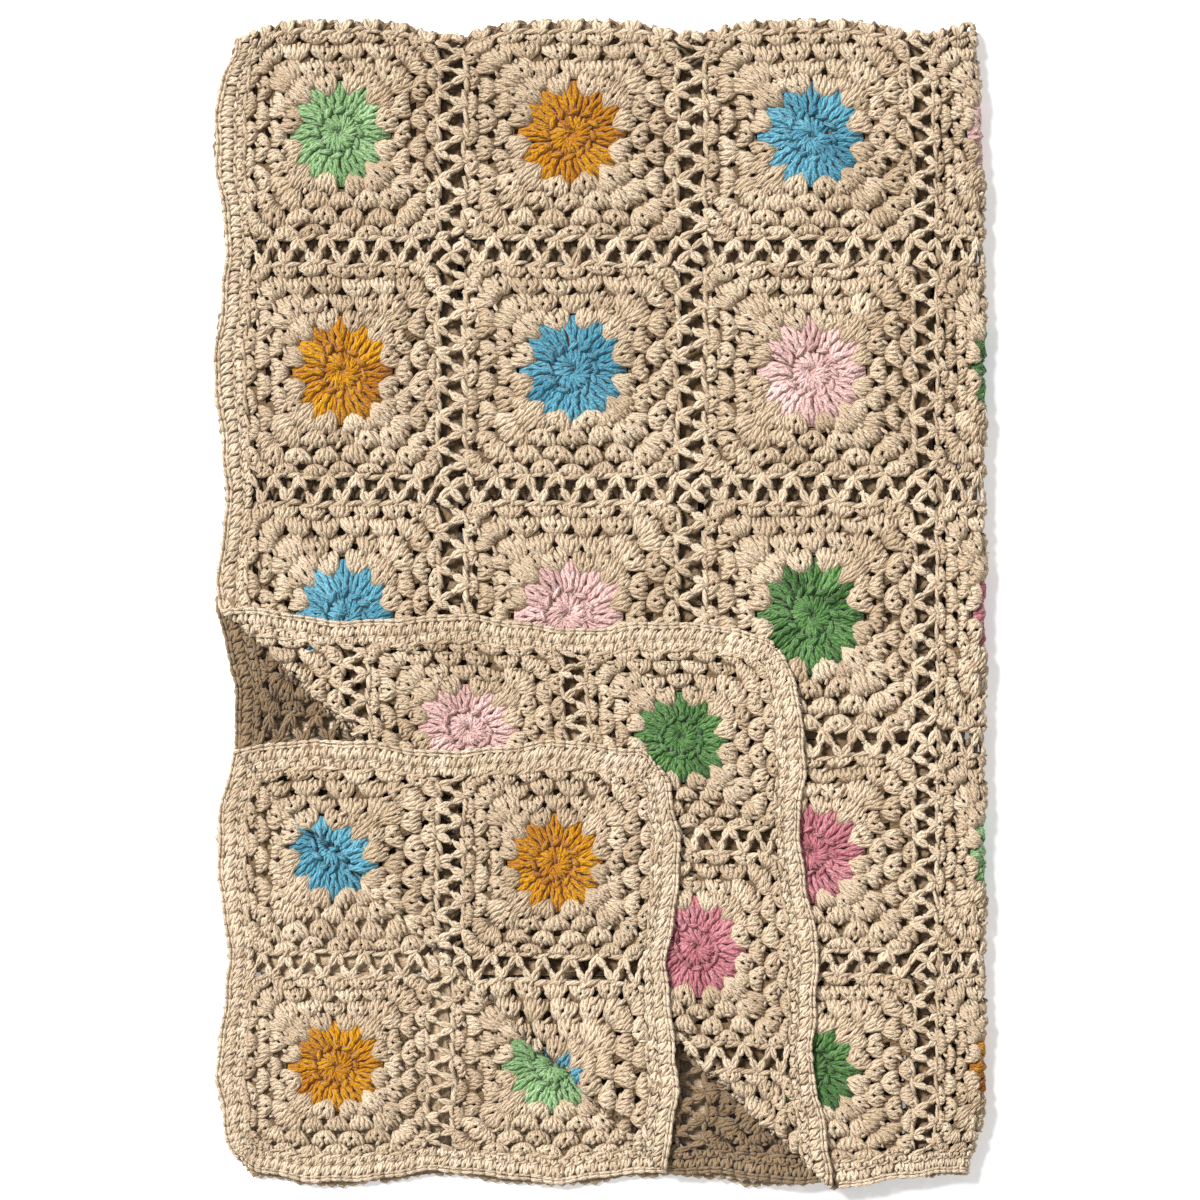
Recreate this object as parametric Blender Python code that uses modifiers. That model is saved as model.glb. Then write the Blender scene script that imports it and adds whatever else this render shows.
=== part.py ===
"""A crochet throw of 7 by 10 squares, folded in four, with two of its corners turned up.

Metres, Z up. The folded throw lies on Z = 0, its top fold towards +Y and its side fold towards +X,
with the middle of its outline over the origin. It is one sheet, so it is one solid.
"""

import math

import bmesh
import bpy
from mathutils import Vector

COLUMNS = 7
ROWS = 10
THROW_WIDTH = 1.20
THROW_LENGTH = 1.80
LATTICE = 0.018
BORDER = 0.021
CLOTH = 0.0036
LAYER_PITCH = 0.0052
FOLDED_WIDTH = 0.593
FOLDED_LENGTH = 0.9025

SQUARE_WIDE = (THROW_WIDTH - 2 * BORDER - (COLUMNS - 1) * LATTICE) / COLUMNS
SQUARE_LONG = (THROW_LENGTH - 2 * BORDER - (ROWS - 1) * LATTICE) / ROWS
COLUMN_PITCH = SQUARE_WIDE + LATTICE
ROW_PITCH = SQUARE_LONG + LATTICE

# Each square's side has this many steps of the joining lattice, at about twice the crocheted ones.
STEPS = 4
CHAIN = 0.0042
CROSSING_RIM = 0.0035

# How far each line of the lattice lies from the side fold, and from the top fold, once the cotton
# has stretched and settled. Positive is the half that shows: the outer edge comes first and last.
COLUMN_LINES = (0.5952, 0.4135, 0.2287, 0.0470, -0.0762, -0.2495, -0.4227, -0.5944)
ROW_LINES = (
    -0.8970, -0.7307, -0.5467, -0.3620, -0.1810, 0.0, 0.1794, 0.3627, 0.5583, 0.7277, 0.9009,
)

SCALLOP = 0.0085
SCALLOP_REACH = 0.055
CORNER_RADIUS = 0.032

FOLD_RADIUS = LAYER_PITCH / 2
TOP_ARC = FOLD_RADIUS * math.pi / 2
SIDE_RADIUS = 1.5 * LAYER_PITCH
SIDE_ARC = SIDE_RADIUS * math.pi / 2
FOLD_STEPS = 5
SIDE_STEPS = 6

LAYERS_HIGH = CLOTH / 2 + 1.5 * LAYER_PITCH
SIDE_CENTRE = FOLDED_WIDTH / 2 - CLOTH / 2 - SIDE_RADIUS
TOP_CENTRE = FOLDED_LENGTH / 2 - CLOTH / 2 - FOLD_RADIUS

# A turned corner folds over the line from start to end. The flap is drawn up to `draw` of its
# depth, and slips along the line by `slip` of it.
FLAPS = {
    "first": {"start": (-0.2926, -0.0008), "end": (0.1810, -0.4474), "draw": 0.91, "slip": 0.09},
    "second": {"start": (-0.2941, -0.1009), "end": (0.0616, -0.4435), "draw": 1.005, "slip": 0.09},
}
FIRST_FLAP_TOP = -0.012
FIRST_FLAP_RIGHT = 0.160
SECOND_FLAP_TOP = -0.105
SECOND_FLAP_RIGHT = 0.064

# The second flap climbs onto the first flap between these distances from the first flap's fold.
CLIMB_START = 0.036
CLIMB_END = 0.008
CLIMB_STEPS = 3

# Where the folded throw is pulled out of line: place, reach, and how far it moves.
PULLS = (
    {"at": (-0.2965, 0.4512), "reach": 0.035, "by": (0.008, -0.016)},
    {"at": (-0.1147, 0.4512), "reach": 0.032, "by": (0.0, -0.012)},
    {"at": (0.0701, 0.4512), "reach": 0.032, "by": (0.0, -0.010)},
    {"at": (0.2518, 0.4512), "reach": 0.032, "by": (0.0, -0.010)},
    {"at": (0.2965, 0.4512), "reach": 0.090, "by": (-0.007, 0.0)},
    {"at": (0.2965, -0.4512), "reach": 0.040, "by": (-0.012, 0.010)},
    {"at": (-0.2850, -0.0700), "reach": 0.060, "by": (0.009, 0.0)},
)

# The layers lie a little looser in places. This is how much, and how fast it comes and goes.
SWELL = 0.06
SWELL_WAVES = ((8.0, 5.0), (-3.0, 6.0))

# The throw rests on the corners of this rectangle, and arches a hair's breadth between them. From
# there to its edges the cloth rises a little.
REST_HALF_WIDE = 0.235
REST_HALF_LONG = 0.385
REST_BOW = 0.03
REST_ARCH = 0.00015
EDGE_LIFT = 0.0008
EDGE_REACH = 0.05

# Two distances along the second flap's fold that fix each row of edges where the flap climbs.
CLIMB_PLACES = (0.0, 0.3)
MERGE = 1e-6

COTTON = (0.58, 0.45, 0.33, 1.0)


def between(value, knots, targets):
    """The value read off a line through the knots, with the knots in rising order."""
    last = len(knots) - 1
    for k in range(last):
        if value <= knots[k + 1] or k == last - 1:
            share = (value - knots[k]) / (knots[k + 1] - knots[k])
            return targets[k] + share * (targets[k + 1] - targets[k])


def smooth(share):
    share = min(1.0, max(0.0, share))
    return share * share * (3 - 2 * share)


def line_knots(width, pitch, count):
    """Where the outer edges and the lattice's middle lines are on the flat throw."""
    first = BORDER + (pitch - LATTICE) + LATTICE / 2
    return [0.0] + [first + k * pitch for k in range(count - 1)] + [width]


COLUMN_KNOTS = line_knots(THROW_WIDTH, COLUMN_PITCH, COLUMNS)
ROW_KNOTS = [t - THROW_LENGTH / 2 for t in line_knots(THROW_LENGTH, ROW_PITCH, ROWS)]


def settle(s, t):
    """Flat throw to settled throw: stretched lines, scalloped edges and round corners."""
    a = between(s, COLUMN_KNOTS, COLUMN_LINES)
    b = between(t, ROW_KNOTS, ROW_LINES)
    from_side = min(s, THROW_WIDTH - s)
    from_hem = THROW_LENGTH / 2 - abs(t)
    waist = 0.5 + 0.5 * math.cos(2 * math.pi * t / ROW_PITCH)
    a -= math.copysign(SCALLOP * waist * smooth(1 - from_side / SCALLOP_REACH), a)
    waist = 0.5 + 0.5 * math.cos(2 * math.pi * (s - COLUMN_KNOTS[1]) / COLUMN_PITCH)
    b -= math.copysign(SCALLOP * waist * smooth(1 - from_hem / SCALLOP_REACH), b)
    across = CORNER_RADIUS - from_side
    along = CORNER_RADIUS - from_hem
    if across > 0 and along > 0:
        keep = max(across, along) / math.hypot(across, along)
        a -= math.copysign(across * (1 - keep), a)
        b -= math.copysign(along * (1 - keep), b)
    return a, b


def flap_axes(flap):
    start = Vector(flap["start"])
    along = (Vector(flap["end"]) - start).normalized()
    return start, along, Vector((along.y, -along.x))


def past_fold(flap, x, y):
    """How far a point is along a flap's fold, and past it on the corner's side."""
    start, along, out = flap_axes(flap)
    offset = Vector((x, y)) - start
    return offset.dot(along), offset.dot(out)


def turn_corner(flap, x, y, z):
    """Rolls what is past the fold up and back over the layer that it belongs to."""
    start, along, out = flap_axes(flap)
    p, q = past_fold(flap, x, y)
    if q <= 0:
        return x, y, z
    angle = min(q / FOLD_RADIUS, math.pi)
    beyond = max(0.0, q - math.pi * FOLD_RADIUS)
    z += FOLD_RADIUS * (1 - math.cos(angle))
    q = FOLD_RADIUS * math.sin(angle) - flap["draw"] * beyond
    place = start + along * (p + flap["slip"] * beyond) + out * q
    return place.x, place.y, z


def layer_of(a, b):
    if a > 0:
        return "first" if b > 0 else "second"
    return "third" if b < 0 else "fourth"


def edge_lift(x, y):
    """How far the cloth rises off the corners of the rectangle it rests on."""
    wide = REST_HALF_WIDE - REST_BOW * max(0.0, 1 - (y / REST_HALF_LONG) ** 2)
    long = REST_HALF_LONG - REST_BOW * max(0.0, 1 - (x / REST_HALF_WIDE) ** 2)
    outside = max(abs(x) - wide, abs(y) - long, 0.0)
    arch = 1 - min(1.0, (x * y / (REST_HALF_WIDE * REST_HALF_LONG)) ** 2)
    return EDGE_LIFT * (1 - max(0.0, 1 - outside / EDGE_REACH) ** 2) + REST_ARCH * arch


def fold(a, b):
    """Settled throw to folded throw: the middle of the cloth at that place."""
    turn = min(abs(b), TOP_ARC) / FOLD_RADIUS
    y = TOP_CENTRE + FOLD_RADIUS * math.cos(turn) - max(0.0, abs(b) - TOP_ARC)
    radius = LAYER_PITCH + math.copysign(FOLD_RADIUS * math.sin(turn), b)
    turn = math.pi / 2 * min(abs(a), SIDE_ARC) / SIDE_ARC
    x = SIDE_CENTRE + radius * math.cos(turn) - max(0.0, abs(a) - SIDE_ARC)
    z = LAYERS_HIGH + math.copysign(radius * math.sin(turn), a)
    layer = layer_of(a, b)
    if layer in FLAPS and abs(a) > SIDE_ARC and abs(b) > TOP_ARC:
        turned = past_fold(FLAPS[layer], x, y)[1] > 0
        x, y, z = turn_corner(FLAPS[layer], x, y, z)
        if turned and layer == "second":
            short = past_fold(FLAPS["first"], x, y)[1]
            z += 2 * LAYER_PITCH * smooth((CLIMB_START - short) / (CLIMB_START - CLIMB_END))
    first_wave, second_wave = (kx * x + ky * y for kx, ky in SWELL_WAVES)
    swell = SWELL * (1 + math.sin(first_wave) * math.cos(second_wave))
    z = CLOTH / 2 + (z - CLOTH / 2) * (1 + swell)
    z += edge_lift(x, y)
    for pull in PULLS:
        distance = math.hypot(x - pull["at"][0], y - pull["at"][1])
        share = math.exp(-((distance / pull["reach"]) ** 2))
        x += share * pull["by"][0]
        y += share * pull["by"][1]
    return x, y, z


def in_view(a, b):
    """Whether the throw lies open to view from above at this place."""
    layer = layer_of(a, b)
    x, y, _ = fold(a, b)
    under_first = y < FIRST_FLAP_TOP and x < FIRST_FLAP_RIGHT
    under_second = y < SECOND_FLAP_TOP and x < SECOND_FLAP_RIGHT
    flat_x = SIDE_CENTRE - abs(a) + SIDE_ARC
    flat_y = TOP_CENTRE - abs(b) + TOP_ARC
    if layer == "first":
        turned = past_fold(FLAPS["first"], flat_x, flat_y)[1] > 0
        return not under_second if turned else not under_first
    if layer == "second":
        turned = past_fold(FLAPS["second"], flat_x, flat_y)[1] > 0
        bare = past_fold(FLAPS["first"], flat_x, flat_y)[1] > 0
        return turned or (bare and not under_second)
    return layer == "third" and past_fold(FLAPS["second"], flat_x, flat_y)[1] > 0


def near_bend(a, b):
    """Whether this place is in a fold, or within a chain's width of one."""
    if abs(a) < SIDE_ARC + CHAIN or abs(b) < TOP_ARC + CHAIN:
        return True
    layer = layer_of(a, b)
    if layer not in FLAPS:
        return False
    q = past_fold(FLAPS[layer], SIDE_CENTRE - abs(a) + SIDE_ARC, TOP_CENTRE - abs(b) + TOP_ARC)[1]
    return -CHAIN < q < math.pi * FOLD_RADIUS + CHAIN


def grid_lines(count, square):
    """The flat throw's grid lines: border, then squares in steps with lattice between."""
    lines = [0.0]
    place = BORDER
    for _ in range(count):
        lines += [place + square * k / STEPS for k in range(STEPS + 1)]
        place += square + LATTICE
    return lines + [place - LATTICE + BORDER]


def strip_index(k, count):
    """Which part of the throw a grid cell is in: -1 for border, -2 for lattice, else its square."""
    if k == 0 or k == count * (STEPS + 1):
        return -1
    square, step = divmod(k - 1, STEPS + 1)
    return -2 if step == STEPS else square


def cell_kind(face, column_tag, row_tag):
    return (strip_index(face[column_tag], COLUMNS), strip_index(face[row_tag], ROWS))


def flat_throw():
    """The flat throw as a grid, each square one face, its joining strips still in steps."""
    across = grid_lines(COLUMNS, SQUARE_WIDE)
    along = [t - THROW_LENGTH / 2 for t in grid_lines(ROWS, SQUARE_LONG)]
    bm = bmesh.new()
    column_tag = bm.faces.layers.int.new("column")
    row_tag = bm.faces.layers.int.new("row")
    bmesh.ops.create_grid(bm, x_segments=len(across) - 1, y_segments=len(along) - 1, size=0.5)
    cells = {}
    for face in bm.faces:
        middle = face.calc_center_median()
        face[column_tag] = int((middle.x + 0.5) * (len(across) - 1))
        face[row_tag] = int((middle.y + 0.5) * (len(along) - 1))
        kind = cell_kind(face, column_tag, row_tag)
        if min(kind) >= 0:
            cells.setdefault(kind, []).append(face)
    for vert in bm.verts:
        column = round((vert.co.x + 0.5) * (len(across) - 1))
        row = round((vert.co.y + 0.5) * (len(along) - 1))
        vert.co = Vector((across[column], along[row], 0.0))
    for faces in cells.values():
        bmesh.ops.dissolve_faces(bm, faces=faces)
    return bm, column_tag, row_tag


def lean_chains(bm):
    """Slides the joining points of facing squares half a step apart, so that chains zigzag."""
    shift_wide = SQUARE_WIDE / STEPS / 4
    shift_long = SQUARE_LONG / STEPS / 4
    for vert in bm.verts:
        s = (vert.co.x - BORDER + CHAIN) % COLUMN_PITCH - CHAIN
        t = (vert.co.y + THROW_LENGTH / 2 - BORDER + CHAIN) % ROW_PITCH - CHAIN
        inside_s = CHAIN < s < SQUARE_WIDE - CHAIN
        inside_t = CHAIN < t < SQUARE_LONG - CHAIN
        hem = THROW_LENGTH / 2 - abs(vert.co.y) < BORDER + CHAIN
        side = min(vert.co.x, THROW_WIDTH - vert.co.x) < BORDER + CHAIN
        if inside_s and not inside_t and not hem:
            vert.co.x += shift_wide if t > CHAIN else -shift_wide
        if inside_t and not inside_s and not side:
            vert.co.y += shift_long if s > CHAIN else -shift_long


def cut_gaps(bm, column_tag, row_tag):
    """Cuts the lattice's gaps where it lies open to view. Elsewhere its strips stay whole."""
    strips = []
    crossings = []
    for face in list(bm.faces):
        column, row = cell_kind(face, column_tag, row_tag)
        if -2 not in (column, row) or -1 in (column, row):
            continue
        if any(near_bend(v.co.x, v.co.y) for v in face.verts):
            continue
        middle = face.calc_center_median()
        if not in_view(middle.x, middle.y):
            continue
        if column == row:
            crossings.append(face)
        else:
            strips.append(face)
    chains = []
    for face in strips:
        corners = [loop.vert for loop in face.loops]
        pairs = [(corners[0], corners[2]), (corners[1], corners[3])]
        short = min(pairs, key=lambda pair: (pair[0].co - pair[1].co).length)
        split, _ = bmesh.utils.face_split(face, *short)
        chains += [face, split]
    bmesh.ops.inset_individual(bm, faces=chains, thickness=CHAIN / 2, use_even_offset=True)
    bmesh.ops.inset_individual(bm, faces=crossings, thickness=CROSSING_RIM, use_even_offset=True)
    gaps = chains + crossings
    bmesh.ops.delete(bm, geom=gaps, context="FACES_ONLY")
    print("gaps cut:", len(gaps))


def crease(bm, faces, point, normal):
    """A row of edges along one line, through the given faces only."""
    edges = {edge for face in faces for edge in face.edges}
    verts = {vert for face in faces for vert in face.verts}
    bmesh.ops.bisect_plane(
        bm,
        geom=list(faces) + list(edges) + list(verts),
        dist=MERGE,
        plane_co=point,
        plane_no=normal,
    )


def quadrant(bm, layer):
    return [f for f in bm.faces if layer_of(*f.calc_center_median().xy) == layer]


def rest_creases(bm):
    """Rows of edges round the rectangle of the lowest layer that the throw rests on."""
    for x in (-REST_HALF_WIDE, REST_HALF_WIDE):
        point = Vector((x - SIDE_CENTRE - SIDE_ARC, 0.0, 0.0))
        crease(bm, quadrant(bm, "fourth"), point, Vector((1.0, 0.0, 0.0)))
    for y in (-REST_HALF_LONG, REST_HALF_LONG):
        point = Vector((0.0, TOP_CENTRE + TOP_ARC - y, 0.0))
        crease(bm, quadrant(bm, "fourth"), point, Vector((0.0, 1.0, 0.0)))


def crease_corner(bm, layer, flap, distances):
    """Rows of edges in a layer, at distances past the line that a flap is folded over."""
    start, _, out = flap_axes(flap)
    flat = Vector((SIDE_CENTRE + SIDE_ARC - start.x, TOP_CENTRE + TOP_ARC - start.y, 0.0))
    up = 1 if layer == "first" else -1
    normal = Vector((-out.x, -out.y * up, 0.0))
    origin = Vector((flat.x, flat.y * up, 0.0))
    for distance in distances:
        crease(bm, quadrant(bm, layer), origin + normal * distance, normal)


def climb_creases(bm):
    """Rows of edges where the second flap climbs, traced back to where it was before its turn."""
    flap = FLAPS["second"]
    start, along, out = flap_axes(flap)
    other_start, _, other_out = flap_axes(FLAPS["first"])
    for k in range(CLIMB_STEPS + 1):
        short = CLIMB_START + (CLIMB_END - CLIMB_START) * k / CLIMB_STEPS
        ends = []
        for p in CLIMB_PLACES:
            # On the flap, a point is start + along * (p + slip * w) - out * draw * w.
            base = (start + along * p - other_start).dot(other_out) - short
            rate = (along * flap["slip"] - out * flap["draw"]).dot(other_out)
            beyond = -base / rate
            place = start + along * p + out * (beyond + math.pi * FOLD_RADIUS)
            a = SIDE_CENTRE + SIDE_ARC - place.x
            b = -(TOP_CENTRE + TOP_ARC - place.y)
            ends.append(Vector((a, b, 0.0)))
        run = ends[1] - ends[0]
        crease(bm, quadrant(bm, "second"), ends[0], Vector((-run.y, run.x, 0.0)))


def throw_mesh():
    bm, column_tag, row_tag = flat_throw()
    lean_chains(bm)
    for vert in bm.verts:
        vert.co.x, vert.co.y = settle(vert.co.x, vert.co.y)
    bm.normal_update()
    cut_gaps(bm, column_tag, row_tag)
    loose = [v for v in bm.verts if len(v.link_edges) == 2 and not v.is_boundary]
    bmesh.ops.dissolve_verts(bm, verts=loose)
    for k in range(FOLD_STEPS + 1):
        b = TOP_ARC * (2 * k / FOLD_STEPS - 1)
        crease(bm, bm.faces[:], Vector((0.0, b, 0.0)), Vector((0.0, 1.0, 0.0)))
    for k in range(SIDE_STEPS + 1):
        a = SIDE_ARC * (2 * k / SIDE_STEPS - 1)
        crease(bm, bm.faces[:], Vector((a, 0.0, 0.0)), Vector((1.0, 0.0, 0.0)))
    roll = [math.pi * FOLD_RADIUS * k / FOLD_STEPS for k in range(FOLD_STEPS + 1)]
    for layer, flap in FLAPS.items():
        crease_corner(bm, layer, flap, roll)
    climb_creases(bm)
    rest_creases(bm)
    for vert in bm.verts:
        vert.co = Vector(fold(vert.co.x, vert.co.y))
    bmesh.ops.recalc_face_normals(bm, faces=bm.faces[:])
    mesh = bpy.data.meshes.new("throw")
    bm.to_mesh(mesh)
    bm.free()
    return mesh


def cotton_material():
    material = bpy.data.materials.new("crocheted cotton")
    material.use_nodes = True
    shader = material.node_tree.nodes["Principled BSDF"]
    shader.inputs["Base Color"].default_value = COTTON
    shader.inputs["Roughness"].default_value = 0.9
    shader.inputs["Metallic"].default_value = 0.0
    return material


def build():
    for old in list(bpy.data.objects):
        bpy.data.objects.remove(old, do_unlink=True)
    collection = bpy.data.collections.new("crochet throw")
    bpy.context.scene.collection.children.link(collection)
    throw = bpy.data.objects.new("throw", throw_mesh())
    throw.data.materials.append(cotton_material())
    collection.objects.link(throw)
    body = throw.modifiers.new("cloth thickness", "SOLIDIFY")
    body.thickness = CLOTH
    body.offset = 0.0


build()
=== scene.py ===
# %% [markdown]
# # A crochet throw, folded in four
#
# The throw is cotton yarn and nothing else: seven by ten granny squares with a coloured star in each,
# an open zigzag of chains that joins them, and a border worked round the whole. This lesson makes one
# stitch at a time, then lays copies of it where the hook would have made them. The throw is
# worked flat, as a maker works it, and one function then folds every point of it into four layers.

import math

import bpy
import numpy as np
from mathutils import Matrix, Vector


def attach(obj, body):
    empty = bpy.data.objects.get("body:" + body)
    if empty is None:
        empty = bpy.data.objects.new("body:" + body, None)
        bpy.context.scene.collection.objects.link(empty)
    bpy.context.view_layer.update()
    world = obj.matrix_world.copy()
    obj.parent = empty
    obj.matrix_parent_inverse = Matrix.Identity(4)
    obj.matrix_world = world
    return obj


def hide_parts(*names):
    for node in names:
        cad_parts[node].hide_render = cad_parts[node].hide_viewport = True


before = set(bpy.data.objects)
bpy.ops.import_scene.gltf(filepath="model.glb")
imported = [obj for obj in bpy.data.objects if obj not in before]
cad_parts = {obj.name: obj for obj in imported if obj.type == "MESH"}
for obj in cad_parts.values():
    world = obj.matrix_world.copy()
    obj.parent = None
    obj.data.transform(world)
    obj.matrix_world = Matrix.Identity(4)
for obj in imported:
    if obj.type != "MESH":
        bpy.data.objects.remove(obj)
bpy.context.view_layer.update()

# %% [markdown]
# ## The flat throw
#
# A maker plans a throw from the square: its size, the open strip between two squares, and the border.
# The same few numbers that made the solid throw are given here in metres, so that each stitch lies in
# the cloth that it belongs to. `s` runs across the flat throw, and `t` along it.

# %% Sizes of the flat throw
COLUMNS = 7
ROWS = 10
THROW_WIDTH = 1.20
THROW_LENGTH = 1.80
LATTICE = 0.018
BORDER = 0.021
SQUARE_WIDE = (THROW_WIDTH - 2 * BORDER - (COLUMNS - 1) * LATTICE) / COLUMNS
SQUARE_LONG = (THROW_LENGTH - 2 * BORDER - (ROWS - 1) * LATTICE) / ROWS
COLUMN_PITCH = SQUARE_WIDE + LATTICE
ROW_PITCH = SQUARE_LONG + LATTICE
print(f"a square is {SQUARE_WIDE * 1000:.0f} by {SQUARE_LONG * 1000:.0f} mm")

# %% [markdown]
# ## How the cotton settles
#
# Hand-made squares are never all the same: some columns have stretched, the border pulls in where a
# square's side is worked and stands out at the joins, and the corners are round. `settle` takes a
# flat place to its distance from the two folds, which is all that the folding needs.

# %% From the flat throw to the settled one
# How far each edge and each strip's middle lies from the two folds, as far as the photo shows them.
COLUMN_LINES = (0.5952, 0.4135, 0.2287, 0.0470, -0.0762, -0.2495, -0.4227, -0.5944)
ROW_LINES = (
    -0.8970, -0.7307, -0.5467, -0.3620, -0.1810, 0.0, 0.1794, 0.3627, 0.5583, 0.7277, 0.9009,
)
SCALLOP = 0.0085
SCALLOP_REACH = 0.055
CORNER_RADIUS = 0.032


def line_knots(width, pitch, count):
    """Where the outer edges and the lattice's middle lines are on the flat throw."""
    first = BORDER + (pitch - LATTICE) + LATTICE / 2
    return np.array([0.0] + [first + k * pitch for k in range(count - 1)] + [width])


COLUMN_KNOTS = line_knots(THROW_WIDTH, COLUMN_PITCH, COLUMNS)
ROW_KNOTS = line_knots(THROW_LENGTH, ROW_PITCH, ROWS) - THROW_LENGTH / 2


def smooth(share):
    """Eases a share from 0 to 1, flat at both ends."""
    share = np.clip(share, 0.0, 1.0)
    return share * share * (3 - 2 * share)


def settle(s, t):
    past_side = s - np.clip(s, 0.0, THROW_WIDTH)
    past_hem = t - np.clip(t, -THROW_LENGTH / 2, THROW_LENGTH / 2)
    a = np.interp(s, COLUMN_KNOTS, COLUMN_LINES) - past_side
    b = np.interp(t, ROW_KNOTS, ROW_LINES) + past_hem
    from_side = np.minimum(s, THROW_WIDTH - s)
    from_hem = THROW_LENGTH / 2 - np.abs(t)
    waist = 0.5 + 0.5 * np.cos(2 * math.pi * t / ROW_PITCH)
    a = a - np.copysign(SCALLOP * waist * smooth(1 - from_side / SCALLOP_REACH), a)
    waist = 0.5 + 0.5 * np.cos(2 * math.pi * (s - COLUMN_KNOTS[1]) / COLUMN_PITCH)
    b = b - np.copysign(SCALLOP * waist * smooth(1 - from_hem / SCALLOP_REACH), b)
    across = np.maximum(CORNER_RADIUS - from_side, 0.0)
    along = np.maximum(CORNER_RADIUS - from_hem, 0.0)
    length = np.maximum(np.hypot(across, along), 1e-9)
    keep = np.where((across > 0) & (along > 0), np.maximum(across, along) / length, 1.0)
    return a - np.copysign(across * (1 - keep), a), b - np.copysign(along * (1 - keep), b)


print("the settled corner:", settle(np.array([0.0]), np.array([THROW_LENGTH / 2])))

# %% [markdown]
# ## Folding
#
# The throw is folded at its middle row, then again at its middle column, which gives four layers.
# The top layer's loose corner is turned up over a slanting line, and the next layer's corner too.
# Each fold is a small round roll, as thick yarn can't be creased. A place's layer is told by the
# sides of the two folds that it is on.

# %% Sizes of the folds
CLOTH = 0.0036
LAYER_PITCH = 0.0052
FOLDED_WIDTH = 0.593
FOLDED_LENGTH = 0.9025
FOLD_RADIUS = LAYER_PITCH / 2
TOP_ARC = FOLD_RADIUS * math.pi / 2
SIDE_RADIUS = 1.5 * LAYER_PITCH
SIDE_ARC = SIDE_RADIUS * math.pi / 2
LAYERS_HIGH = CLOTH / 2 + 1.5 * LAYER_PITCH
SIDE_CENTRE = FOLDED_WIDTH / 2 - CLOTH / 2 - SIDE_RADIUS
TOP_CENTRE = FOLDED_LENGTH / 2 - CLOTH / 2 - FOLD_RADIUS
# A turned corner was pulled as it was laid back: draw is the share of its depth that it keeps, and
# slip how far it slid along the fold.
FLAPS = {
    "first": {"start": (-0.2926, -0.0008), "end": (0.1810, -0.4474), "draw": 0.91, "slip": 0.09},
    "second": {"start": (-0.2941, -0.1009), "end": (0.0616, -0.4435), "draw": 1.005, "slip": 0.09},
}
# Within these distances of the first flap's fold, the second flap climbs over it.
CLIMB_START = 0.036
CLIMB_END = 0.008


def past_fold(flap, x, y):
    """How far points are along a flap's fold, and past it on the corner's side."""
    start = Vector(flap["start"])
    along = (Vector(flap["end"]) - start).normalized()
    p = (x - start.x) * along.x + (y - start.y) * along.y
    return p, (x - start.x) * along.y - (y - start.y) * along.x


def turn_corner(flap, x, y, z, turned):
    """Rolls what is past the fold up and back over the layer that it belongs to."""
    start = Vector(flap["start"])
    along = (Vector(flap["end"]) - start).normalized()
    p, q = past_fold(flap, x, y)
    angle = np.minimum(q / FOLD_RADIUS, math.pi)
    beyond = np.maximum(0.0, q - math.pi * FOLD_RADIUS)
    depth = FOLD_RADIUS * np.sin(angle) - flap["draw"] * beyond
    run = p + flap["slip"] * beyond
    new_x = start.x + along.x * run + along.y * depth
    new_y = start.y + along.y * run - along.x * depth
    lift = FOLD_RADIUS * (1 - np.cos(angle))
    return np.where(turned, new_x, x), np.where(turned, new_y, y), np.where(turned, z + lift, z)


print("layers are", LAYER_PITCH * 1000, "mm apart")

# %% [markdown]
# The folded pile is also a little looser in places, and its edges are pulled out of line where a hand
# last held it. Those are small pushes, each with a place, a reach and an amount. Slow waves in `fold`
# part the layers a little more here than there.

# %% From the settled throw to the folded one
PULLS = (
    {"at": (-0.2965, 0.4512), "reach": 0.035, "by": (0.008, -0.016)},
    {"at": (-0.1147, 0.4512), "reach": 0.032, "by": (0.0, -0.012)},
    {"at": (0.0701, 0.4512), "reach": 0.032, "by": (0.0, -0.010)},
    {"at": (0.2518, 0.4512), "reach": 0.032, "by": (0.0, -0.010)},
    {"at": (0.2965, 0.4512), "reach": 0.090, "by": (-0.007, 0.0)},
    {"at": (0.2965, -0.4512), "reach": 0.040, "by": (-0.012, 0.010)},
    {"at": (-0.2850, -0.0700), "reach": 0.060, "by": (0.009, 0.0)},
)
SWELL = 0.06
REST_HALF_WIDE = 0.235
REST_HALF_LONG = 0.385
REST_BOW = 0.03
REST_ARCH = 0.00015
EDGE_LIFT = 0.0008
EDGE_REACH = 0.05


def edge_lift(x, y):
    """How far the cloth rises off the corners of the rectangle it rests on."""
    wide = REST_HALF_WIDE - REST_BOW * np.maximum(0.0, 1 - (y / REST_HALF_LONG) ** 2)
    long = REST_HALF_LONG - REST_BOW * np.maximum(0.0, 1 - (x / REST_HALF_WIDE) ** 2)
    outside = np.maximum(np.maximum(np.abs(x) - wide, np.abs(y) - long), 0.0)
    arch = 1 - np.minimum(1.0, (x * y / (REST_HALF_WIDE * REST_HALF_LONG)) ** 2)
    return EDGE_LIFT * (1 - np.maximum(0.0, 1 - outside / EDGE_REACH) ** 2) + REST_ARCH * arch


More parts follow.
